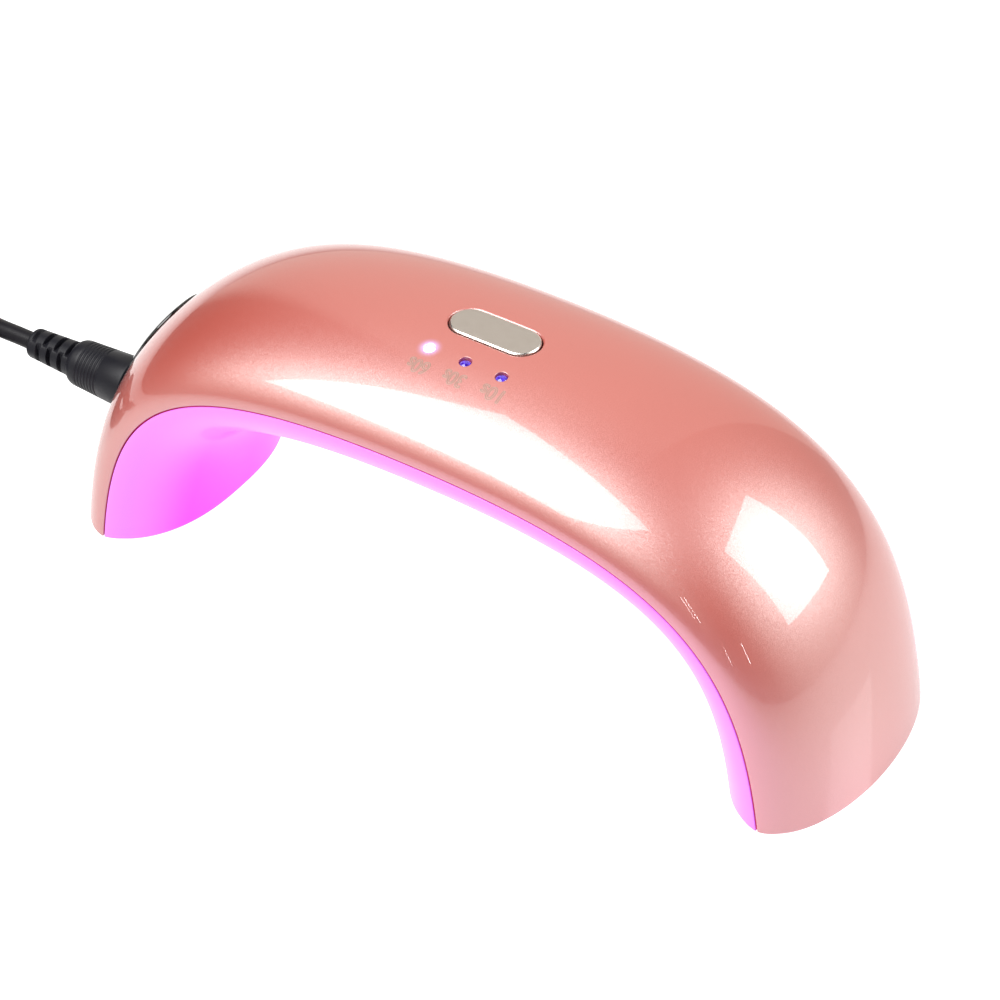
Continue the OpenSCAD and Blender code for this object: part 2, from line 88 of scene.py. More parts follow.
class Shape:
    """Collects grids of points as quads, welds what meets, and makes an object of it."""

    def __init__(self):
        self.points, self.faces, self.finish, self.count = [], [], [], 0

    def add(self, points):
        points = np.asarray(points, float).reshape(-1, 3)
        self.points.append(points)
        self.count += len(points)
        return np.arange(self.count - len(points), self.count)

    def grid(self, points, closed=False, skip=None, second_from=None):
        """Quads over a rows x columns array of points; closed joins the last column to the first.

        Columns from second_from on get the second material.
        """
        points = np.asarray(points, float)
        rows, columns = points.shape[:2]
        ids = self.add(points).reshape(rows, columns)
        for i in range(rows - 1):
            for k in range(columns if closed else columns - 1):
                if skip is None or not skip[i, k]:
                    n = (k + 1) % columns
                    self.faces.append((ids[i, k], ids[i, n], ids[i + 1, n], ids[i + 1, k]))
                    self.finish.append(int(second_from is not None and k >= second_from))
        return ids

    def cap(self, ids):
        self.faces.append(tuple(ids))
        self.finish.append(0)

    def tube(self, rings):
        """Closed rings joined in order, with a flat face over both ends."""
        ids = self.grid(rings, closed=True)
        self.cap(ids[0])
        self.cap(ids[-1])

    def make(self, name, body, material, slot, replaces=(), weld=0.002, sharp=35, second=None, pick=None):
        """pick(centre in mm) is true for the faces that get the second material."""
        mesh = bpy.data.meshes.new(name)
        mesh.from_pydata(np.vstack(self.points) * MM, [], [tuple(map(int, f)) for f in self.faces])
        mesh.polygons.foreach_set("material_index", self.finish)
        edit = bmesh.new()
        edit.from_mesh(mesh)
        bmesh.ops.remove_doubles(edit, verts=edit.verts, dist=weld * MM)
        bmesh.ops.recalc_face_normals(edit, faces=edit.faces)
        edit.to_mesh(mesh)
        edit.free()
        mesh.shade_smooth()
        mesh.set_sharp_from_angle(angle=math.radians(sharp))
        piece = bpy.data.objects.new(name, mesh)
        scene.collection.objects.link(piece)
        mesh.materials.append(material)
        if second:
            mesh.materials.append(second)
        if pick:
            for face in mesh.polygons:
                face.material_index = int(pick(face.center / MM))
        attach(piece, body)
        if replaces:
            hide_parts(*replaces)
        return piece


def box_ring(width, height, radius, arc):
    """Points round a rounded rectangle in the plane, centred on the origin."""
    radius = min(radius, width / 2, height / 2)
    points = []
    for k, (sx, sy) in enumerate(((1, 1), (-1, 1), (-1, -1), (1, -1))):
        x, y = sx * (width / 2 - radius), sy * (height / 2 - radius)
        for a in np.radians(np.linspace(90 * k, 90 * k + 90, arc + 1)):
            points.append((x + radius * math.cos(a), y + radius * math.sin(a)))
    return np.array(points)


def box_loft(shape, profile, width, height, radius, place, arc):
    """Capped rounded-rectangle rings; profile lists (distance along, inset).

    place maps (u, v, along) to space.
    """
    rings = []
    for along, inset in profile:
        ring = box_ring(width - 2 * inset, height - 2 * inset, max(radius - inset, 0.01), arc)
        rings.append([place(u, v, along) for u, v in ring])
    shape.tube(rings)


def full_turn(sides):
    return np.linspace(0, 2 * math.pi, sides, endpoint=False)


def lathe(shape, profile, place, sides=64):
    """Capped rings about an axis; profile lists (distance along, radius)."""
    turn = full_turn(sides)
    shape.tube([[place(r * math.cos(a), r * math.sin(a), along) for a in turn] for along, r in profile])


def quarter(start, end, steps, bulge="out"):
    """Points on a quarter ellipse from start to end, leaving start along the first axis if bulge is out."""
    points = []
    for k in range(steps + 1):
        a = math.pi / 2 * k / steps
        if bulge == "out":
            f, g = math.sin(a), 1 - math.cos(a)
        else:
            f, g = 1 - math.cos(a), math.sin(a)
        points.append((start[0] + (end[0] - start[0]) * f, start[1] + (end[1] - start[1]) * g))
    return points


# ---- The arch as a formula, as the CAD has it ----

HALF_SPAN, SEAM_TOP, TOP_HANDLE, FOOT_HANDLE = 80, 55.6, 59.6, 40
FOOT_SPLAY = math.radians(8)
HALF_WIDTH, CROWN, BELLY = 29, 13.2, 14.8
SHELL_WALL, LINER_WALL, RIM, FOOT_Z = 2.2, 2.4, 0.15, 0.3
BELLY_SIDE, BELLY_DOWN = 2.5, 1.75
TONGUE_IN, TONGUE_OUT, TONGUE_H = 25, 26, 1.5
JACK_Z = 16.6

HANDLES = np.array([
    (0, SEAM_TOP),
    (TOP_HANDLE, SEAM_TOP),
    (HALF_SPAN - FOOT_HANDLE * math.sin(FOOT_SPLAY), FOOT_HANDLE * math.cos(FOOT_SPLAY)),
    (HALF_SPAN, 0),
])


def arch_point(t, y, h):
    """The point at station t, across y and h out from the seam; all three may be arrays."""
    t, y, h = np.broadcast_arrays(*(np.asarray(a, float) for a in (t, y, h)))
    a = np.abs(t)
    b = np.minimum(a, 1)[..., None]
    p0, p1, p2, p3 = HANDLES
    seam = (1 - b) ** 3 * p0 + 3 * (1 - b) ** 2 * b * p1 + 3 * (1 - b) * b * b * p2 + b**3 * p3
    slope = 3 * (1 - b) ** 2 * (p1 - p0) + 6 * (1 - b) * b * (p2 - p1) + 3 * b * b * (p3 - p2)
    seam = seam + slope * (a[..., None] - b)
    along = slope / np.linalg.norm(slope, axis=-1, keepdims=True)
    x = np.where(t < 0, -1, 1) * (seam[..., 0] - along[..., 1] * h)
    return np.stack([x, y, seam[..., 1] + along[..., 0] * h], -1)


def station_at(value, y, h, axis, low=0.0, high=1.4):
    """The station of the right half where the surface reaches a value along axis 0 (x) or 2 (z)."""
    value, y, h = np.broadcast_arrays(*(np.asarray(a, float) for a in (value, y, h)))
    low, high = np.full(value.shape, low), np.full(value.shape, high)
    for _ in range(50):
        mid = (low + high) / 2
        at = arch_point(mid, y, h)[..., axis]
        further = at < value if axis == 0 else at > value
        low, high = np.where(further, mid, low), np.where(further, high, mid)
    return (low + high) / 2


def crown(w, top):
    """The crown's section as a function of the angle f, 0 to pi across the arch."""

    def section(f):
        return -w * np.cos(f), RIM + (top - RIM) * np.sin(f)

    def angle(y):
        return np.arccos(np.clip(-np.asarray(y, float) / w, -1, 1))

    section.angle = angle
    return section


def belly(w, depth):
    def section(f):
        c, s = np.cos(f), np.clip(np.sin(f), 0, 1)
        across = -w * np.sign(c) * np.abs(c) ** (2 / BELLY_SIDE)
        return across, -RIM - (depth - RIM) * s ** (2 / BELLY_DOWN)

    def angle(y):
        y = np.asarray(y, float) / w
        return np.arccos(np.clip(-np.sign(y) * np.abs(y) ** (BELLY_SIDE / 2), -1, 1))

    section.angle = angle
    return section


def top_place(section):
    """Maps plan coordinates (x, y) on a section's surface to (station, angle)."""

    def place(x, y):
        f = section.angle(y)
        h = section(f)[1]
        t = station_at(np.abs(x), y, h, 0)
        return np.where(np.asarray(x) < 0, -t, t), f

    return place


def left_end_place(section):
    """Maps (z, y) on the left end of a section's surface to (station, angle)."""

    def place(z, y):
        f = section.angle(y)
        return -station_at(z, y, section(f)[1], 2, low=0.5), f

    return place


LEGS_TOP_Z = 30


class Opening:
    """A hole in a wall: a rounded box w x h about a centre, in plan (x, y) or in the left end's plane (z, y).

    margin is the width of the patch of face round it, and lip the radius of its rounded edge. steps lists
    (growth, level) rings on the way from the seen face to the hidden one, whose hole is grown by
    inner_grow; a level is a height, or a place along X in the left end.
    """

    def __init__(self, centre, w, h, radius, margin, lip, end=False, steps=(), inner_grow=0):
        self.centre, self.w, self.h, self.radius = np.array(centre, float), w, h, radius
        self.margin, self.lip, self.end = margin, lip, end
        self.steps, self.inner_grow = steps, inner_grow
        self.block, self.on_hidden_face = None, False

    def outline(self, points, grow):
        """The nearest points of the outline, grown by grow, to the given points."""
        core = np.array([self.w / 2 - self.radius, self.h / 2 - self.radius])
        q = points - self.centre
        near = np.clip(q, -core, core)
        off = q - near
        off /= np.linalg.norm(off, axis=-1, keepdims=True)
        return self.centre + near + off * (self.radius + grow)

    def coordinates(self, p):
        return p[..., [2, 1]] if self.end else p[..., :2]

    def level_ring(self, points, grow, level):
        q = self.outline(points, grow)
        flat = np.full(len(q), float(level))
        return np.stack([flat, q[:, 1], q[:, 0]] if self.end else [q[:, 0], q[:, 1], flat], -1)

    def place_on(self, section):
        return (left_end_place if self.end else top_place)(section)

    def pick(self, grid_points, stations):
        """Rows and columns of the block of cells that the hole's patch takes."""
        c = self.coordinates(grid_points)
        reach = np.array([self.w / 2, self.h / 2]) + self.margin
        inside = np.all(np.abs(c - self.centre) < reach, axis=-1)
        inside &= (stations < 0)[:, None] if self.end else (grid_points[..., 2] > LEGS_TOP_Z)
        rows = np.flatnonzero(inside.any(1))
        columns = np.flatnonzero(inside.any(0))
        return rows[0], rows[-1], columns[0], columns[-1]


def block_edge(i0, i1, k0, k1):
    """Row and column of each grid point round a block, in order."""
    path = [(i, k0) for i in range(i0, i1)]
    path += [(i1, k) for k in range(k0, k1)]
    path += [(i, k1) for i in range(i1, i0, -1)]
    path += [(i0, k) for k in range(k1, k0, -1)]
    return np.array(path)


STATIONS, ANGLES, PATCH_STEPS, LIP_STEPS = 300, 120, 6, 4


class Wall:
    """One face of the shell or the liner as a grid of stations and angles, level with the feet's ends."""

    def __init__(self, section, edge_round=0.0, foot_round=0.0):
        self.section = section
        start = 0.0
        if edge_round:
            start = math.asin(edge_round / (abs(section(math.pi / 2)[1]) - RIM))
            if abs(section(start)[1]) > 2 * edge_round:
                start *= 0.4
        self.f = np.linspace(start, math.pi - start, ANGLES + 1)
        self.y, self.h = section(self.f)
        self.u = np.linspace(-1, 1, STATIONS + 1)
        self.foot_round = foot_round * np.clip(3 * np.sin(self.f), 0, 1)
        self.foot_z = FOOT_Z + self.foot_round
        ends = station_at(self.foot_z, self.y, self.h, 2, low=0.5)
        self.t = self.u[:, None] * ends[None, :]
        self.points = arch_point(self.t, self.y, self.h)

    def foot_rows(self, steps=5):
        """Rows of the rounded lower end of the right leg, from the face to the flat end."""
        dy, dh = np.gradient(self.y), np.gradient(self.h)
        out = 1 if self.h[len(self.h) // 2] > 0 else -1
        n = np.hypot(dy, dh) * out
        rows = []
        for k in range(steps + 1):
            a = math.pi / 2 * k / steps
            inset = self.foot_round * (1 - math.cos(a))
            y, h = self.y + dh / n * inset, self.h - dy / n * inset
            z = FOOT_Z + self.foot_round * (1 - math.sin(a))
            rows.append(arch_point(station_at(z, y, h, 2, low=0.5), y, h))
        return rows

    def at(self, t, f):
        y, h = self.section(f)
        return arch_point(t, y, h)

    def surface(self, opening, goal):
        t, f = opening.place_on(self.section)(goal[:, 0], goal[:, 1])
        return self.at(t, f)

    def add_to(self, shape, openings):
        """Adds the face with a patch round each opening; returns each border's coordinates and last ring."""
        skip = np.zeros((STATIONS, ANGLES), bool)
        rings = []
        for o in openings:
            if o.block is None:
                o.block = o.pick(self.points, self.u)
            i0, i1, k0, k1 = o.block
            skip[i0:i1, k0:k1] = True
            edge = block_edge(i0, i1, k0, k1)
            border = self.points[edge[:, 0], edge[:, 1]]
            c = o.coordinates(border)
            grow = o.inner_grow if o.on_hidden_face else o.lip
            goal = o.outline(c, grow)
            t1, f1 = o.place_on(self.section)(goal[:, 0], goal[:, 1])
            t0, f0 = self.t[edge[:, 0], edge[:, 1]], self.f[edge[:, 1]]
            patch = [border]
            for s in np.linspace(0, 1, PATCH_STEPS + 1)[1:]:
                patch.append(self.at(t0 + (t1 - t0) * s, f0 + (f1 - f0) * s))
            shape.grid(patch, closed=True)
            rings.append((c, patch[-1]))
            o.on_hidden_face = True
        shape.grid(self.points, skip=skip)
        return rings


def hole_walls(shape, seen, openings, seen_rings, hidden_rings, down):
    """The rounded lip and the inside of every hole, from the seen face to the hidden one."""
    for o, (c, _), (_, last) in zip(openings, seen_rings, hidden_rings):
        way = np.array(INWARD if o.end else down, float)
        rows = []
        for k in range(LIP_STEPS + 1):
            a = math.pi / 2 * k / LIP_STEPS
            on_face = seen.surface(o, o.outline(c, o.lip * (1 - math.sin(a))))
            rows.append(on_face + way * o.lip * (1 - math.cos(a)))
        rows += [o.level_ring(c, grow, level) for grow, level in o.steps]
        rows.append(last)
        shape.grid(rows, closed=True)


# ---- Materials ----


def srgb(r, g, b):
    """A colour given as 0 to 255 display values, in linear light."""
    c = [x / 255 for x in (r, g, b)]
    return [x / 12.92 if x <= 0.04045 else ((x + 0.055) / 1.055) ** 2.4 for x in c] + [1.0]


class Nodes:
    """Adds nodes to a tree; an input takes a value or another node's output."""

    def __init__(self, tree):
        self.tree = tree

    def put(self, socket, value):
        if isinstance(value, bpy.types.NodeSocket):
            self.tree.links.new(value, socket)
        else:
            socket.default_value = value

    def new(self, kind, *in_order, **by_name):
        node = self.tree.nodes.new(kind)
        for socket, value in zip(node.inputs, in_order):
            self.put(socket, value)
        for key, value in by_name.items():
            self.put(node.inputs[key.replace("_", " ")], value)
        return node

    def math(self, operation, *values):
        n = self.new("ShaderNodeMath", *values)
        n.operation = operation
        return n.outputs[0]

    def vector(self, operation, *values, output=0):
        n = self.new("ShaderNodeVectorMath", *values)
        n.operation = operation
        return n.outputs[output]

    def span(self, value, low, high, to_low=0.0, to_high=1.0, smooth=True):
        """Maps low..high to to_low..to_high, and holds the end values outside."""
        n = self.new("ShaderNodeMapRange", value, low, high, to_low, to_high)
        n.interpolation_type = "SMOOTHSTEP" if smooth else "LINEAR"
        return n.outputs["Result"]

    def mix(self, factor, a, b):
        n = self.tree.nodes.new("ShaderNodeMix")
        n.data_type = "RGBA"
        for index, value in ((0, factor), (6, a), (7, b)):
            self.put(n.inputs[index], value)
        return n.outputs[2]


class Material(Nodes):
    """A Principled material with object-space textures."""

    def __init__(self, name, colour, **sockets):
        self.m = bpy.data.materials.new(name)
        self.m.use_nodes = True
        super().__init__(self.m.node_tree)
        self.shader = self.tree.nodes["Principled BSDF"]
        self.set("Base Color", colour)
        for key, value in sockets.items():
            self.set(key.replace("_", " "), value)
        self.position = self.new("ShaderNodeTexCoord").outputs["Object"]

    def set(self, key, value):
        self.put(self.shader.inputs[key], value)

    def noise(self, scale, detail):
        n = self.new("ShaderNodeTexNoise", Scale=scale, Detail=detail, Roughness=0.6, Vector=self.position)
        return n.outputs["Fac"]

    def cell_colours(self, scale):
        """Small cells with a colour each, as a colour and as its first channel."""
        cells = self.new("ShaderNodeTexVoronoi", Scale=scale, Vector=self.position).outputs["Color"]
        return cells, self.new("ShaderNodeSeparateXYZ", cells).outputs[0]

    def axes(self):
        return tuple(self.new("ShaderNodeSeparateXYZ", self.position).outputs)

    def distance_from(self, point):
        """Distance in metres from a point given in millimetres."""
        return self.vector("DISTANCE", self.position, [c * MM for c in point], output="Value")

    def bump(self, height, strength, distance):
        n = self.new("ShaderNodeBump", Strength=strength, Distance=distance, Height=height)
        self.set("Normal", n.outputs["Normal"])


def plain(name, colour, rough, grain=900, depth=0.00002, tint=0.12, **sockets):
    """A moulded or plated surface: even colour with slight cloudiness, fine grain and roughness variation."""
    m = Material(name, colour, Roughness=rough, **sockets)
    cloud = m.noise(120, 3)
    darker = [c * (1 - tint) for c in colour[:3]] + [1]
    m.set("Base Color", m.mix(cloud, darker, colour))
    m.set("Roughness", m.span(m.noise(400, 5), 0.3, 0.7, rough * 0.88, min(1, rough * 1.12)))
    m.bump(m.noise(grain, 6), 0.25, depth)
    return m.m


def pearl_shell():
    """Coral pearl paint: mica flakes under a polished clear coat, and a painted violet glow round the lit
    indicator.
    """
    coral = srgb(168, 47, 21)
    deep = srgb(160, 40, 16)
    flake_tilt = (0.13, 0.13, 0.13)
    m = Material("coral_pearl", coral, Roughness=0.44, IOR=3.0, Coat_Weight=1.0, Coat_Roughness=0.02)
    flakes, shade = m.cell_colours(8500)
    tilt = m.vector("MULTIPLY", m.vector("SUBTRACT", flakes, (0.5, 0.5, 0.5)), flake_tilt)
    normal = m.new("ShaderNodeNewGeometry").outputs["Normal"]
    m.set("Normal", m.vector("NORMALIZE", m.vector("ADD", normal, tilt)))
    cloud = m.math("MULTIPLY", m.noise(45, 3), 0.5)
    m.set("Base Color", m.mix(m.math("MULTIPLY_ADD", shade, 0.5, cloud), deep, coral))
    # Painted light: a violet glow on the paint round the lit indicator, for its light spilling onto the
    # shell.
    near = m.span(m.distance_from(LIT_INDICATOR), 0.0032, 0.001)
    m.set("Emission Color", (0.22, 0.42, 1.0, 1))
    m.set("Emission Strength", m.math("MULTIPLY", m.math("MULTIPLY", near, near), 0.9))
    return m.m


def glowing_liner():
    """Milky plastic with the light from inside the arch painted on as a glow and a tint: lilac along the lip,
    hot magenta further in.
    """
    m = Material("glowing_liner", srgb(225, 165, 240), Roughness=0.32, Coat_Weight=0.4, Coat_Roughness=0.08)
    inward = m.span(m.math("ABSOLUTE", m.axes()[1]), 0.0285, 0.015)
    # Painted light: the lilac-to-magenta base colour and the glow stand in for the LEDs' light on the
    # plastic.
    lilac, magenta = srgb(188, 108, 218), srgb(204, 30, 180)
    m.set("Base Color", m.mix(inward, lilac, magenta))
    m.set("Emission Color", m.mix(inward, srgb(212, 112, 248), srgb(250, 50, 240)))
    m.set("Emission Strength", m.span(inward, 0, 1, 0.4, 0.62, smooth=False))
    m.bump(m.noise(700, 5), 0.15, 0.00002)
    return m.m


def seam_shadow():
    """The liner's lip where it dips into the seam, out of reach of its own light."""
    m = Material("seam_shadow", srgb(214, 60, 120), Roughness=0.6, Emission_Strength=0.22)
    m.set("Base Color", m.mix(m.noise(300, 3), srgb(206, 54, 112), srgb(220, 66, 126)))
    m.set("Emission Color", srgb(235, 60, 120))
    return m.m


def satin_button():
    m = Material("button_satin", srgb(199, 190, 183), Metallic=1.0, Roughness=0.42)
    m.set("Roughness", m.span(m.noise(900, 6), 0.3, 0.7, 0.38, 0.48))
    m.bump(m.noise(6000, 2), 0.12, 0.00001)
    return m.m


def polished_rim():
    m = Material("button_rim", srgb(244, 238, 234), Metallic=1.0, Roughness=0.25)
    m.set("Roughness", m.span(m.noise(700, 4), 0.3, 0.7, 0.22, 0.3))
    return m.m


def indicator(name, lit):
    """Resin dome: white-hot and ringed with violet when lit, otherwise dark, with cells of varying tone and a
    faint painted violet glow that is brighter in some cells.
    """
    core = srgb(246, 240, 255) if lit else srgb(72, 42, 190)
    m = Material(name, core, Roughness=0.1, Coat_Weight=1.0, Coat_Roughness=0.02)
    shade = m.cell_colours(2600)[1]
    if lit:
        rim = m.span(m.distance_from(LIT_INDICATOR), 0.0008, 0.0013)
        m.set("Emission Color", m.mix(rim, (1, 1, 1, 1), (0.5, 0.3, 1, 1)))
        m.set("Emission Strength", 3.0)
        m.set("Base Color", m.mix(shade, srgb(225, 210, 255), core))
    else:
        m.set("Base Color", m.mix(shade, srgb(36, 16, 110), core))
        # Painted light on the unlit domes: a faint violet glow, brighter in some cells, for light caught in
        # the lens.
        m.set("Emission Color", m.mix(shade, srgb(70, 20, 160), srgb(130, 90, 255)))
        m.set("Emission Strength", 0.22)
    return m.m


def lit_lens():
    m = Material("uv_lens", srgb(190, 150, 255), Roughness=0.08, Coat_Weight=1.0, Emission_Strength=4.0)
    m.set("Emission Color", m.mix(m.noise(500, 2), srgb(170, 90, 255), srgb(225, 170, 255)))
    return m.m


def woven_strap():
    m = Material("tie_strap", srgb(30, 30, 32), Roughness=0.8, Sheen_Weight=0.4)
    wave = m.new("ShaderNodeTexWave", Scale=1300, Distortion=1.5, Detail=2, Vector=m.position)
    m.set("Base Color", m.mix(wave.outputs["Fac"], srgb(20, 20, 22), srgb(44, 43, 46)))
    m.bump(wave.outputs["Fac"], 0.6, 0.0001)
    return m.m


def floor_paper():
    """White paper, with a painted magenta pool of light in front of the lamp that stands in for the light
    spilling out from under the arch.

    It shines white for the camera. For everything else it carries painted light, brightest near the lamp, on
    the tinted patch and on a painted pale patch like a card beside the right foot; away from the lamp its
    colour is painted dark.
    """
    m = Material("floor", (0.3, 0.3, 0.3, 1), Roughness=0.7)
    # Painted light: a magenta pool in front of the lamp, and floor light that fades away from the lamp.
    lit = m.span(m.distance_from((50, -160, 0)), 0.22, 0.06)
    near = m.span(m.distance_from((0, 0, 0)), 0.65, 0.2)
    seen = m.new("ShaderNodeLightPath").outputs["Is Camera Ray"]
    tinted = m.mix(lit, (1, 1, 1, 1), (1, 0.68, 1, 1))
    m.set("Emission Color", m.mix(seen, tinted, (1, 1, 1, 1)))
    grey = m.mix(m.noise(6, 3), (0.28, 0.28, 0.28, 1), (0.31, 0.31, 0.31, 1))
    # Painted shade: the floor's colour is dark away from the lamp; near it a grey of slightly varying tone.
    m.set("Base Color", m.mix(near, (0.02, 0.02, 0.02, 1), grey))
    x, y, _ = m.axes()
    # A painted pale patch beside the right foot, bright in reflections.
    painted_card_patch = m.span(x, 0.141, 0.137)
    for slope, outside, inside in ((1.19, -0.1165, -0.1185), (0.45, -0.0615, -0.0595)):
        edge = m.math("SUBTRACT", y, m.math("MULTIPLY", x, slope))
        painted_card_patch = m.math("MULTIPLY", painted_card_patch, m.span(edge, outside, inside))
    patches = m.math("MULTIPLY", m.math("MAXIMUM", painted_card_patch, lit), 0.55)
    bounce = m.math("MULTIPLY_ADD", near, 0.74, patches)
    m.set("Emission Strength", m.math("MAXIMUM", bounce, m.math("MULTIPLY", seen, 1.2)))
    m.bump(m.noise(900, 4), 0.05, 0.00005)
    return m.m


# ---- Case ----

BUTTON_Y, BUTTON_L, BUTTON_W, BUTTON_TOP, BUTTON_GAP = 1.5, 20, 8.4, 68.8, 0.3
INDICATOR_Y, INDICATOR_PITCH, INDICATOR_R, INDICATOR_TOP = -9.1, 8.4, 1.2, 68
LIT_INDICATOR = (-INDICATOR_PITCH, INDICATOR_Y, INDICATOR_TOP)
WINDOW, WINDOW_R, SCREW_AT, SCREW_HEAD_Z = (61, 31), 4, (35, 11), 42.6
JACK_BORE_R, SEAM_EDGE_R, FOOT_ROUND = 5.7, 0.25, 0.8
DOWN, UP, INWARD = (0, 0, -1), (0, 0, 1), (1, 0, 0)
MIRROR_X = np.array([-1, 1, 1])


def rim_strips(shape, seen, hidden, round_r, between=()):
    """Strips along both long edges: the seen face's rounded edge, the points between, the hidden wall.

    With points between, they and the hidden wall get the second material.
    """
    out = 1 if seen.h[len(seen.h) // 2] > 0 else -1
    for side in (0, -1):
        sign = -1 if side == 0 else 1
        corner_y, corner_h = abs(seen.y[side]), seen.h[side]
        profile = []
        for k in range(LIP_STEPS + 1):
            a = math.pi / 2 * k / LIP_STEPS
            y = corner_y - round_r * (1 - math.cos(a))
            h = corner_h + (out * RIM - corner_h) * math.sin(a)
            profile.append((sign * y, h))
        profile += [(sign * y, h) for y, h in between]
        profile.append((hidden.y[side], hidden.h[side]))
        y, h = np.array(profile).T
        ends = station_at(np.full(len(y), FOOT_Z), y, h, 2, low=0.5)
        ends[0] = station_at(seen.foot_z[side], y[0], h[0], 2, low=0.5)
        strip = arch_point(seen.u[:, None] * ends[None, :], y, h)
        shape.grid(strip, second_from=LIP_STEPS if between else None)
        feet = arch_point(ends, y, h)
        for turn in (1, MIRROR_X):
            corner = [seen.foot_rows()[-1][side] * turn]
            shape.cap(shape.add(np.vstack([corner, feet * turn])))


def feet(shape, seen, hidden):
    rows = seen.foot_rows()
    rows.append(arch_point(station_at(FOOT_Z, hidden.y, hidden.h, 2, low=0.5), hidden.y, hidden.h))
    shape.grid(rows)
    shape.grid([row * MIRROR_X for row in rows])


def round_opening(centre, radius, margin, lip, **rest):
    return Opening(centre, 2 * radius, 2 * radius, radius, margin, lip, **rest)


def case_half(seen_section, hidden_section, openings, inward, between=()):
    """A closed wall with its holes, rounded seam edges and flat feet."""
    seen = Wall(seen_section, edge_round=SEAM_EDGE_R, foot_round=FOOT_ROUND)
    hidden = Wall(hidden_section)
    shape = Shape()
    seen_rings = seen.add_to(shape, openings)
    hidden_rings = hidden.add_to(shape, openings)
    hole_walls(shape, seen, openings, seen_rings, hidden_rings, inward)
    rim_strips(shape, seen, hidden, SEAM_EDGE_R, between)
    feet(shape, seen, hidden)
    return shape


def outer_shell(material):
    r = BUTTON_W / 2 + BUTTON_GAP
    jack_steps = [(0, -88.6), (-1.7, -88.6), (-1.7, -85.6), (0.8, -85.6)]
    jack = {"end": True, "steps": jack_steps, "inner_grow": 0.8}
    openings = [
        Opening((0, BUTTON_Y), BUTTON_L + 2 * BUTTON_GAP, 2 * r, r, 2.0, lip=0.5),
        round_opening((JACK_Z, 0), JACK_BORE_R, 3.0, 0.2, **jack),
    ]
    for k in (-1, 0, 1):
        openings.append(round_opening((k * INDICATOR_PITCH, INDICATOR_Y), INDICATOR_R + 0.1, 1.7, 0.1))
    inside = crown(HALF_WIDTH - SHELL_WALL, CROWN - SHELL_WALL)
    shape = case_half(crown(HALF_WIDTH, CROWN), inside, openings, DOWN)
    shape.make("coral_shell", LAMP, material, "coral_shell", ["outer_shell"])


def inner_liner(material, shadow):
    openings = [Opening((0, 0), *WINDOW, WINDOW_R, 1.0, lip=0.3)]
    boss_steps = [(0, SCREW_HEAD_Z), (-0.95, SCREW_HEAD_Z), (-0.95, 45.9), (0.6, 45.9)]
    for x in (-1, 1):
        for y in (-1, 1):
            at = (x * SCREW_AT[0], y * SCREW_AT[1])
            openings.append(round_opening(at, 2.2, 1.1, 0.15, steps=boss_steps, inner_grow=0.6))
    inside = belly(TONGUE_IN, BELLY - LINER_WALL)
    tongue = [(TONGUE_OUT, -RIM), (TONGUE_OUT, TONGUE_H), (TONGUE_IN, TONGUE_H)]
    shape = case_half(belly(HALF_WIDTH, BELLY), inside, openings, UP, tongue)
    shape.make("glowing_liner", LAMP, material, "milky_liner", ["inner_liner"], second=shadow)


def jack_bezel(material):
    """Domed oval plate round the jack: rings from the hole out to the edge, and back underneath."""
    low_t, high_t, half_y = -0.975, -0.607, 11
    under, rim_t, thick, hole_r, squareness = 0.12, 0.2, 0.9, 5.9, 2.6
    middle, half_t = (low_t + high_t) / 2, (high_t - low_t) / 2
    face = crown(HALF_WIDTH, CROWN)
    f = full_turn(144)

    def oval(c):
        return np.sign(c) * np.abs(c) ** (2 / squareness)

    edge_t, edge_y = middle + half_t * oval(np.cos(f)), half_y * oval(np.sin(f))
    edge = arch_point(edge_t, edge_y, face(face.angle(edge_y))[1])
    to_edge = edge[:, [2, 1]] - (JACK_Z, 0)
    hole = to_edge / np.linalg.norm(to_edge, axis=1, keepdims=True) * hole_r + (JACK_Z, 0)
    hole_t = left_end_place(face)(hole[:, 0], hole[:, 1])[0]

    def ring(s, lift):
        t, y = hole_t + (edge_t - hole_t) * s, hole[:, 1] + (edge_y - hole[:, 1]) * s
        reach = np.abs((t - middle) / half_t) ** squareness + np.abs(y / half_y) ** squareness
        reach = reach ** (1 / squareness)
        rise = rim_t + (thick - rim_t) * np.sqrt(np.clip(1 - reach**6, 0, 1))
        return arch_point(t, y, face(face.angle(y))[1] + under + rise * lift)

    shape = Shape()
    out = 1 - (1 - np.linspace(0, 1, 16)) ** 2
    rows = [ring(0, 0.0), ring(0, 0.6), ring(0.004, 0.8), ring(0.015, 0.93), ring(0.04, 1.0)]
    rows += [ring(s, 1.0) for s in out if s > 0.05]
    rows.append(ring(1, 0.0))
    rows.append(rows[0])
    shape.grid(rows, closed=True)
    shape.make("jack_plate", LAMP, material, "black_gloss", ["jack_bezel"], sharp=50)


# ---- Button and indicators ----


def power_button(satin, polished):
    bevel, flange_z = 0.26, 64.5
    side_z = BUTTON_TOP - bevel
    shape = Shape()

    def at(u, v, z):
        return (u, v + BUTTON_Y, z)

    profile = [(flange_z, -1.6), (65.5, -1.6), (65.5, 0), (side_z - 0.08, 0), (side_z, 0.015)]
    slope = [(side_z + bevel * s, bevel * s) for s in (0.12, 0.5, 0.88)]
    face = [(BUTTON_TOP - 0.012, bevel - 0.01), (BUTTON_TOP, bevel + 0.05)]
    profile += slope + face + [(BUTTON_TOP, inset) for inset in (1.2, 2.4, 4)]
    box_loft(shape, profile, BUTTON_L, BUTTON_W, BUTTON_W / 2, at, arc=20)
    lathe(shape, [(flange_z, 2), (flange_z - 0.6, 2)], at)

    def on_bevel(centre):
        return side_z - 0.2 < centre.z < BUTTON_TOP - 0.001

    shape.make("power_key", BUTTON, satin, "button_satin", ["power_button"], second=polished, pick=on_bevel)


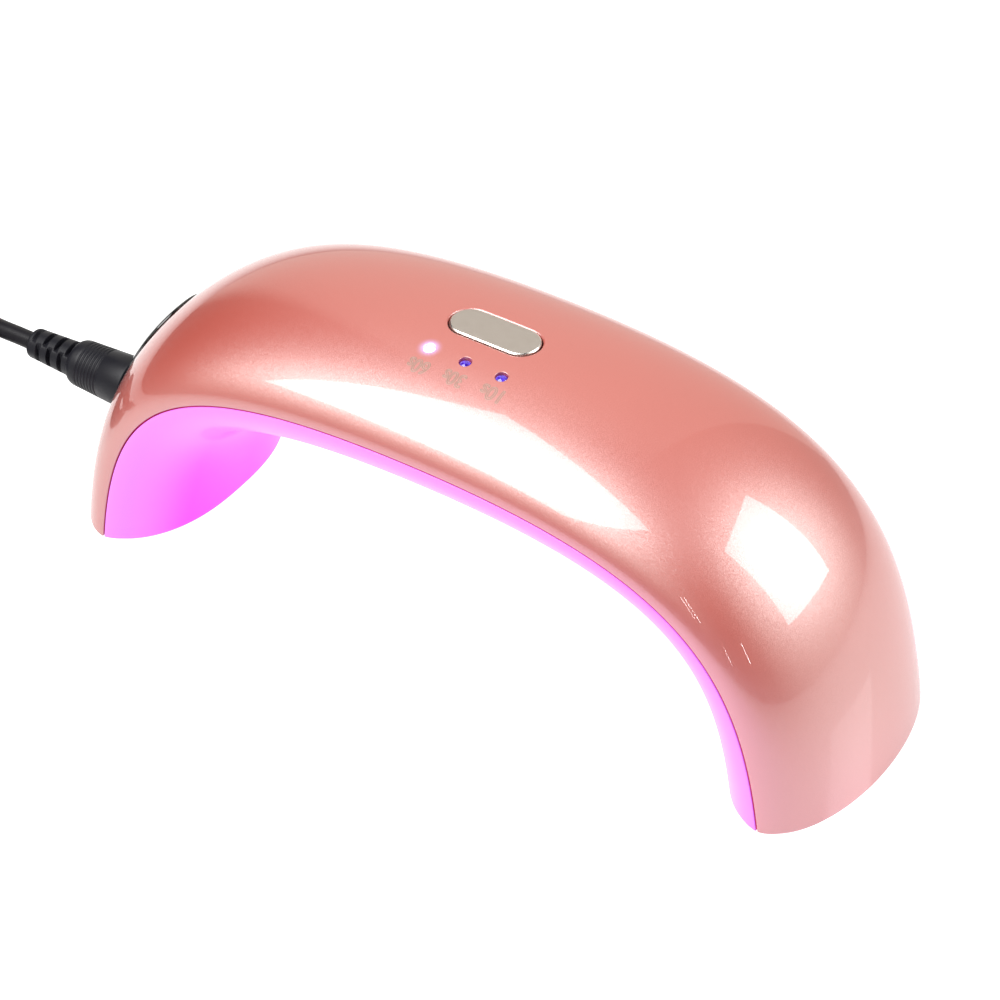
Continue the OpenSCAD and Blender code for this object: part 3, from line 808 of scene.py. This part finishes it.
def indicators(lit, unlit):
    seat_z, flange_z = 62.9, 63.9
    dome_h, flange_r = 0.5, INDICATOR_R + 0.4
    dome_r = (INDICATOR_R**2 + dome_h**2) / (2 * dome_h)
    dome = [
        (INDICATOR_TOP - dome_r * (1 - math.cos(a)), dome_r * math.sin(a))
        for a in np.linspace(math.asin(INDICATOR_R / dome_r), 0.02, 14)
    ]
    flange = [(seat_z, flange_r), (flange_z - 0.1, flange_r), (flange_z, flange_r - 0.1)]
    profile = [*flange, (flange_z, INDICATOR_R), *dome]
    for k, seconds in ((-1, "60s"), (0, "30s"), (1, "10s")):
        shape = Shape()
        x = k * INDICATOR_PITCH
        lathe(shape, profile, lambda a, b, z: (a + x, b + INDICATOR_Y, z), sides=48)
        on = seconds == "60s"
        slot = "indicator_lit" if on else "indicator_violet"
        shape.make("light_" + seconds, LAMP, lit if on else unlit, slot, ["indicator_led_" + seconds])


def outlines(words):
    """The closed outlines of the words, each a list of points in order."""
    curve = bpy.data.curves.new("letters", "FONT")
    curve.body, curve.fill_mode, curve.resolution_u = words, "NONE", 6
    drawn = bpy.data.objects.new("letters", curve)
    scene.collection.objects.link(drawn)
    bpy.context.view_layer.update()
    mesh = bpy.data.meshes.new_from_object(drawn.evaluated_get(bpy.context.evaluated_depsgraph_get()))
    bpy.data.objects.remove(drawn)
    nearby = {v.index: [] for v in mesh.vertices}
    for edge in mesh.edges:
        first, last = edge.vertices
        nearby[first].append(last)
        nearby[last].append(first)
    loops = []
    while nearby:
        at = next(iter(nearby))
        loop = []
        while at is not None:
            loop.append(mesh.vertices[at].co[:2])
            at = next((n for n in nearby.pop(at) if n in nearby), None)
        loops.append(np.array(loop))
    return loops


def evenly(loop, step):
    """A closed outline with points added so that none are further apart than step."""
    points = []
    for a, b in zip(loop, np.roll(loop, -1, 0)):
        parts = max(1, math.ceil(np.linalg.norm(b - a) / step))
        points += [a + (b - a) * k / parts for k in range(parts)]
    return np.array(points)


def timer_labels(material):
    """The three times as printed outlines, placed so that they read from the +Y side."""
    size, half_stroke, ink, step = np.array([4.6, 3.2]), 0.12, 0.02, 0.12
    face = crown(HALF_WIDTH, CROWN)
    for words, x, y in (("60s", -7.8, -14.1), ("30s", 0.3, -13.8), ("10s", 8.9, -13.6)):
        loops = outlines(words)
        low, high = np.vstack(loops).min(0), np.vstack(loops).max(0)
        shape = Shape()
        for loop in loops:
            scaled = (loop - (low + high) / 2) / (high - low) * size
            line = evenly(np.array([x, y]) - scaled, step)
            along = np.roll(line, -1, 0) - np.roll(line, 1, 0)
            along /= np.linalg.norm(along, axis=1, keepdims=True) + 1e-9
            across = np.stack([-along[:, 1], along[:, 0]], 1)
            rows = []
            for side, lift in ((-1, 0.004), (-0.8, ink), (0.8, ink), (1, 0.004)):
                plan = line + across * half_stroke * side
                t, f = top_place(face)(plan[:, 0], plan[:, 1])
                rows.append(arch_point(t, plan[:, 1], face(f)[1] + lift))
            shape.grid(rows, closed=True)
        shape.make("label_" + words, LAMP, material, "button_satin")


# ---- Power lead ----

CORD_D = 4
CORD_ROUTE = [
    (-120.5, 0, 16.6), (-125, 0, 16.6), (-130, 0.1, 16.4), (-134, 0.9, 15.8),
    (-138, 2.7, 14.7), (-142, 5.4, 13.1), (-146, 8.6, 11.2), (-150, 11.6, 9.3),
    (-154, 13.9, 7.8), (-158, 15.3, 6.7), (-161.5, 15.85, 6.2), (-165, 16, 6.05),
]
TAIL_ROUTE = [
    (-194, -13, 2), (-194, -16.5, 2.1), (-194, -20, 2.7),
    (-194, -23, 3.5), (-194, -25.8, 4), (-194, -28.8, 4),
]
COIL_X, COIL_Y, COIL_IN, COIL_OUT = -165, -13, 15.1, 29
TOP_LAYER_Z, LOW_LAYER_Z = 6.05, 2


def coil_points():
    """Two layers: in along the top one, down over a third of a turn, and out along the lower one."""
    per_turn, layer_turns, drop_turns = 24, 3 + 11 / 24, 1 / 3
    points = []
    for k in range(1, round((2 * layer_turns + drop_turns) * per_turn)):
        n = k / per_turn
        if n < layer_turns:
            r, z = COIL_OUT + (COIL_IN - COIL_OUT) * n / layer_turns, TOP_LAYER_Z
        elif n < layer_turns + drop_turns:
            s = (n - layer_turns) / drop_turns
            r, z = COIL_IN, TOP_LAYER_Z + (LOW_LAYER_Z - TOP_LAYER_Z) * (3 - 2 * s) * s * s
        else:
            s = (n - layer_turns - drop_turns) / layer_turns
            r, z = COIL_IN + (COIL_OUT - COIL_IN) * s, LOW_LAYER_Z
        a = math.pi / 2 + 2 * math.pi * n
        points.append((COIL_X + r * math.cos(a), COIL_Y + r * math.sin(a), z))
    return points


def power_cable(material):
    route = [Vector(p) * MM for p in CORD_ROUTE + coil_points() + TAIL_ROUTE]
    curve = bpy.data.curves.new("power_cable", "CURVE")
    curve.dimensions, curve.bevel_depth, curve.bevel_resolution = "3D", CORD_D / 2 * MM, 6
    curve.resolution_u, curve.use_fill_caps = 4, True
    spline = curve.splines.new("BEZIER")
    spline.bezier_points.add(len(route) - 1)
    length = sum((b - a).length for a, b in zip(route, route[1:]))
    ends = [route[0], *route, route[-1]]
    for knot, before, p, after in zip(spline.bezier_points, ends, route, ends[2:]):
        along = (after - before).normalized()
        knot.handle_left_type = knot.handle_right_type = "FREE"
        knot.co = p
        knot.handle_left = p - along * (p - before).length / 3
        knot.handle_right = p + along * (after - p).length / 3
    cable = bpy.data.objects.new("power_cable", curve)
    scene.collection.objects.link(cable)
    curve.materials.append(material)
    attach(cable, LEAD)
    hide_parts("power_cord", "cord_coil", "cord_tail")
    return cable, length


PLUG_FRONT_X, PLUG_REAR_X, RELIEF_END_X, PLUG_R = -92.8, -107, -120.5, 6
DOME_L, DOME_END_R = 1.4, 4


def on_jack_axis(a, b, along):
    """A point a across and b above the jack's axis, so far behind the plug's front face."""
    return (PLUG_FRONT_X - along, a, JACK_Z + b)


def dc_plug(material):
    length, rear_r = PLUG_FRONT_X - PLUG_REAR_X, PLUG_R - 0.75
    first_ring, ring_pitch, rings, depth, width = 6.6, 0.9, 7, 0.16, 0.52
    side = ((0, 0), (0.07, 0.25), (0.13, 0.8), (0.2, 1))
    groove = [*side, *((width - at, down) for at, down in reversed(side))]

    def taper(s):
        return PLUG_R + (rear_r - PLUG_R) * s / length

    profile = [(3, 2.75), (0.1, 2.75), (0, 2.85)]
    profile += quarter((0, PLUG_R - 0.45), (0.45, taper(0.45)), 5, bulge="in")
    for k in range(rings):
        s = first_ring + k * ring_pitch
        for at, down in groove:
            profile.append((s + at, taper(s + at) - depth * down))
    profile.append((length - 1.0, taper(length - 1.0)))
    profile += quarter((length - 0.6, taper(length - 0.6)), (length + DOME_L, DOME_END_R), 8)
    shape = Shape()
    lathe(shape, profile, on_jack_axis, sides=96)
    return shape.make("plug_grip", LEAD, material, "plug_pvc", ["dc_plug_body"])


def strain_relief(material):
    """Flexible sleeve with deep slots that alternate between its sides and its top and bottom."""
    start = PLUG_FRONT_X - PLUG_REAR_X + DOME_L
    length = PLUG_REAR_X - DOME_L - RELIEF_END_X
    end_r, end_l, core = 3.4, 0.8, 2.4
    slots, half_slot, soft, pitch, first_slot = 7, 0.55, 0.16, 3.2, 0.7
    turn = full_turn(96)
    side, top = np.abs(np.cos(turn)), np.abs(np.sin(turn))
    rows = []
    for s in np.linspace(0, length, 131):
        base = DOME_END_R + (end_r - DOME_END_R) * s / (length - end_l)
        if s > length - end_l:
            q = (s - length + end_l) / end_l
            base = end_r - 0.8 * (1 - math.sqrt(max(0, 1 - q * q)))
        r = np.full(len(turn), base)
        for k in range(slots):
            across, middle = side if k % 2 else top, first_slot + k * pitch / 2
            inside = np.clip((half_slot + soft / 2 - abs(s - middle)) / soft, 0, 1)
            inside = inside * inside * (3 - 2 * inside)
            floor_r = core / np.maximum(across, 0.3)
            edge = np.clip((across - 0.68) / 0.05, 0, 1)
            cut = np.minimum(floor_r, base)
            r = np.minimum(r, base + (cut - base) * inside * edge)
        rows.append([on_jack_axis(q * math.cos(a), q * math.sin(a), start + s) for q, a in zip(r, turn)])
    shape = Shape()
    shape.tube(rows)
    return shape.make("plug_strain_relief", LEAD, material, "plug_pvc", ["plug_relief"], sharp=60)


USB_X, USB_Z, USB_Y = -194, 4, -35.8
USB_MOULD_L, USB_MOULD_W, USB_MOULD_H, USB_CORNER_R = 19, 15, 8, 1.8


def usb_grip(material):
    """Overmould of the far plug, with three shallow finger grooves and a cone for the lead."""

    def at(u, v, along):
        return (USB_X + u, USB_Y - along, USB_Z + v)

    round_r, first_groove, groove_pitch = 1.3, 5.5, 2.6
    corner = quarter((0, 0), (round_r, round_r), 5)
    front = [(USB_MOULD_L - round_r + a, i) for a, i in corner]
    rear = [(round_r - a, i) for a, i in reversed(corner)]
    grip = []
    for k in range(3):
        for at_s, inset in ((0, 0), (0.25, 0.22), (0.75, 0.22), (1, 0)):
            grip.append((first_groove + k * groove_pitch + at_s, inset))
    shape = Shape()
    box_loft(shape, rear + grip + front, USB_MOULD_W, USB_MOULD_H, USB_CORNER_R, at, arc=10)
    relief = [(-7, 1.9), (-6.95, 2.4), (-6.6, 2.6), (-4, 2.9), (-1.5, 3.25), (-0.5, 3.5), (0.2, 3.9)]
    lathe(shape, relief, at, sides=48)
    return shape.make("usb_grip", LEAD, material, "plug_pvc", ["usb_plug_body"])


def coil_strap(material):
    """A woven strap wrapped once round the coil's turns and lapped over itself on top."""
    width, thick, turn, slack = 8, 0.7, math.radians(-60), CORD_D / 2 + 0.45
    inner, outer = COIL_IN - slack, COIL_OUT + slack
    low, high, r = 0.36, TOP_LAYER_Z + slack, 2.6
    path = [(inner + 6, high - 0.1), (inner + 9, high)]
    corners = ((outer, high, 90, 0), (outer, low, 0, -90), (inner, low, -90, -180), (inner, high, 180, 90))
    for x, z, a0, a1 in corners:
        cx, cz = x + (r if x == inner else -r), z + (-r if z == high else r)
        for a in np.radians(np.linspace(a0, a1, 9)):
            path.append((cx + r * math.cos(a), cz + r * math.sin(a)))
    path += [(inner + s, high + lift) for s, lift in ((5, 0.1), (7, 0.6), (9, 0.78), (15, 0.78))]
    path = np.array(path)
    along = np.gradient(path, axis=0)
    along /= np.linalg.norm(along, axis=1, keepdims=True)
    across = np.stack([-along[:, 1], along[:, 0]], 1)
    out, aside = np.array([math.cos(turn), math.sin(turn)]), np.array([-math.sin(turn), math.cos(turn)])
    rows = []
    for p, n in zip(path, across):
        row = []
        for v, w in box_ring(width, thick, 0.25, 3):
            reach, height = p + n * w
            row.append((*(out * reach + aside * v + (COIL_X, COIL_Y)), height))
        rows.append(row)
    shape = Shape()
    shape.tube(rows)
    return shape.make("coil_strap", LEAD, material, "tie_plastic", ["coil_tie"])


# ---- Materials of the CAD nodes that stay ----


def cad_materials():
    """By slot: display colour, roughness and the rest of what plain() takes."""
    metal = {"Metallic": 1.0}
    looks = {
        "foot_rubber": ((60, 60, 62), 0.75, {"grain": 2500, "depth": 0.00005}),
        "screw_steel": ((178, 178, 180), 0.32, {"grain": 3000, **metal}),
        "reflector_white": ((242, 240, 250), 0.35, {}),
        "board_aluminium": ((238, 238, 240), 0.5, {"grain": 1500}),
        "led_ceramic": ((240, 236, 222), 0.55, {"grain": 4000}),
        "board_green": ((24, 92, 52), 0.35, {"grain": 1200}),
        "chip_black": ((38, 38, 40), 0.6, {"grain": 5000}),
        "ferrite": ((62, 62, 64), 0.7, {"grain": 4000}),
        "capacitor_sleeve": ((30, 34, 70), 0.3, {}),
        "resistor_ceramic": ((46, 46, 50), 0.4, {}),
        "switch_housing": ((70, 70, 72), 0.5, {}),
        "tinned_metal": ((205, 205, 203), 0.35, metal),
        "jack_plastic": ((26, 26, 28), 0.45, {"grain": 3000}),
        "contact_brass": ((226, 188, 108), 0.22, metal),
        "nickel": ((205, 203, 198), 0.16, {"grain": 2000, **metal}),
        "wire_red": ((190, 22, 22), 0.45, {}),
        "wire_black": ((30, 30, 32), 0.45, {}),
        "usb_white": ((232, 232, 228), 0.4, {}),
        "black_gloss": ((14, 13, 15), 0.06, {"grain": 300, "Coat_Weight": 1.0, "Coat_Roughness": 0.02}),
        "plug_pvc": ((22, 22, 29), 0.42, {"grain": 2600, "depth": 0.00003, "Specular_IOR_Level": 0.25}),
        "cable_pvc": ((22, 21, 26), 0.4, {"grain": 1500, "depth": 0.00003, "Specular_IOR_Level": 0.2}),
        "label_ink": ((150, 124, 112), 0.5, {"grain": 4000}),
    }
    made = {slot: plain(slot, srgb(*colour), rough, **rest) for slot, (colour, rough, rest) in looks.items()}
    return {**made, "lens_clear": lit_lens()}


# ---- Light and floor ----

# Each softbox: direction, size, roll in degrees, radiance
SOFTBOXES = {
    "softbox_right": ((0.743, 0.403, 0.53), (370, 480), -10, 6.5),
    "softbox_front": ((-0.285, -0.413, 0.866), (585, 670), 0, 6.5),
}
# Each narrow strip that shows as a glint on the right leg: azimuth and elevation in degrees, height
STRIPS = ((28, 22, 136), (31.5, 23, 160), (42.5, 7, 95), (64, 13.5, 110))
STRIP_WIDTH, STRIP_RADIANCE = 5, 30
LIGHT_DISTANCE, ARCH_MIDDLE = 700, Vector((0, 0, 50))
FLOOR_X, FLOOR_Y, FLOOR_Z = (-400, 450), (-400, 400), -0.02


def area_light(name, size, energy, placed):
    data = bpy.data.lights.new(name, "AREA")
    data.shape, data.size, data.size_y = "RECTANGLE", size[0] * MM, size[1] * MM
    data.energy = energy
    light = bpy.data.objects.new(name, data)
    light.matrix_world = placed
    light.visible_camera = False
    scene.collection.objects.link(light)
    return data


def softbox(name, way, size, roll, radiance):
    """A rectangular light of an even radiance, facing the middle of the arch."""
    away = Vector(way).normalized()
    facing = away.to_track_quat("Z", "Y").to_matrix().to_4x4()
    turned = Matrix.Rotation(math.radians(roll), 4, away) @ facing
    at = Matrix.Translation((ARCH_MIDDLE + away * LIGHT_DISTANCE) * MM)
    energy = radiance * math.pi * size[0] * size[1] * MM**2
    area_light(name, size, energy, at @ turned)


def head_glow():
    """The lamp head's own light, a magenta rectangle under its window that faces down."""
    light = area_light("head_glow", (54, 24), 0.05, Matrix.Translation(Vector((0, 0, 39.5)) * MM))
    light.color = (1.0, 0.12, 0.9)


def studio_world():
    """White where the camera looks past the floor.

    For everything else a dim room with a white wall behind the lamp on either side, and light that
    spreads softly round the two softboxes.
    """
    world = bpy.data.worlds.new("studio")
    scene.world = world
    world.use_nodes = True
    world.node_tree.nodes.clear()
    w = Nodes(world.node_tree)
    way = w.new("ShaderNodeTexCoord").outputs["Generated"]
    x, y, z = w.new("ShaderNodeSeparateXYZ", way).outputs

    def lobe(towards, wide, core):
        """1 within core degrees of a direction, fading to 0 at wide degrees."""
        cosine = w.vector("DOT_PRODUCT", way, towards, output="Value")
        return w.span(cosine, math.cos(math.radians(wide)), math.cos(math.radians(core)))

    azimuth = w.math("ARCTAN2", x, w.math("MULTIPLY", y, -1.0))
    left_wall = w.span(azimuth, math.radians(-120), math.radians(-128))
    right_wall = w.span(azimuth, math.radians(130), math.radians(180))
    below_top = w.span(z, math.sin(math.radians(86)), math.sin(math.radians(58)))
    walls = w.math("ADD", left_wall, w.math("MULTIPLY", right_wall, 0.45))
    wall = w.math("MULTIPLY", w.math("MULTIPLY", walls, below_top), 0.82)
    front = w.math("ADD", lobe((-0.416, -0.616, 0.669), 50, 20), 0.05)
    right = w.math("MULTIPLY", lobe((0.782, 0.424, 0.457), 46, 20), 0.9)
    strength = w.math("MAXIMUM", wall, w.math("ADD", right, front))
    room = w.new("ShaderNodeBackground", Color=(1, 0.96, 0.87, 1), Strength=strength)
    white = w.new("ShaderNodeBackground", Color=(1, 1, 1, 1), Strength=1.1)
    seen = w.new("ShaderNodeLightPath").outputs["Is Camera Ray"]
    chosen = w.new("ShaderNodeMixShader", seen, room.outputs[0], white.outputs[0])
    w.new("ShaderNodeOutputWorld", Surface=chosen.outputs[0])


def studio():
    studio_world()
    for name, (way, size, roll, radiance) in SOFTBOXES.items():
        softbox(name, way, size, roll, radiance)
    head_glow()
    for k, (azimuth, elevation, high) in enumerate(STRIPS):
        way = direction(math.radians(azimuth), math.radians(elevation))
        softbox("strip_" + str(k + 1), way, (STRIP_WIDTH, high), 0, STRIP_RADIANCE)
    mesh = bpy.data.meshes.new("floor")
    corners = [(x * MM, y * MM, 0) for y in FLOOR_Y for x in FLOOR_X]
    mesh.from_pydata(corners, [], [(0, 1, 3, 2)])
    floor = bpy.data.objects.new("floor", mesh)
    floor.location.z = FLOOR_Z * MM
    mesh.materials.append(floor_paper())
    scene.collection.objects.link(floor)


# ---- Scene ----

make_camera()
finishes = cad_materials()
cable, cable_length = power_cable(finishes["cable_pvc"])
outer_shell(pearl_shell())
inner_liner(glowing_liner(), seam_shadow())
jack_bezel(finishes["black_gloss"])
power_button(satin_button(), polished_rim())
indicators(indicator("indicator_lit", True), indicator("indicator_violet", False))
timer_labels(finishes["label_ink"])
plug = dc_plug(finishes["plug_pvc"])
relief = strain_relief(finishes["plug_pvc"])
usb = usb_grip(finishes["plug_pvc"])
strap = coil_strap(woven_strap())
REPLACED = {
    "outer_shell", "inner_liner", "jack_bezel", "power_button", "dc_plug_body", "plug_relief",
    "power_cord", "cord_coil", "cord_tail", "coil_tie", "usb_plug_body",
    "indicator_led_60s", "indicator_led_30s", "indicator_led_10s",
}
for part in frame["record"]["subparts"]:
    if part["node"] not in REPLACED:
        mesh = frame["nodes"][part["node"]].data
        mesh.materials.clear()
        mesh.materials.append(finishes[part["material_slot"]])
studio()
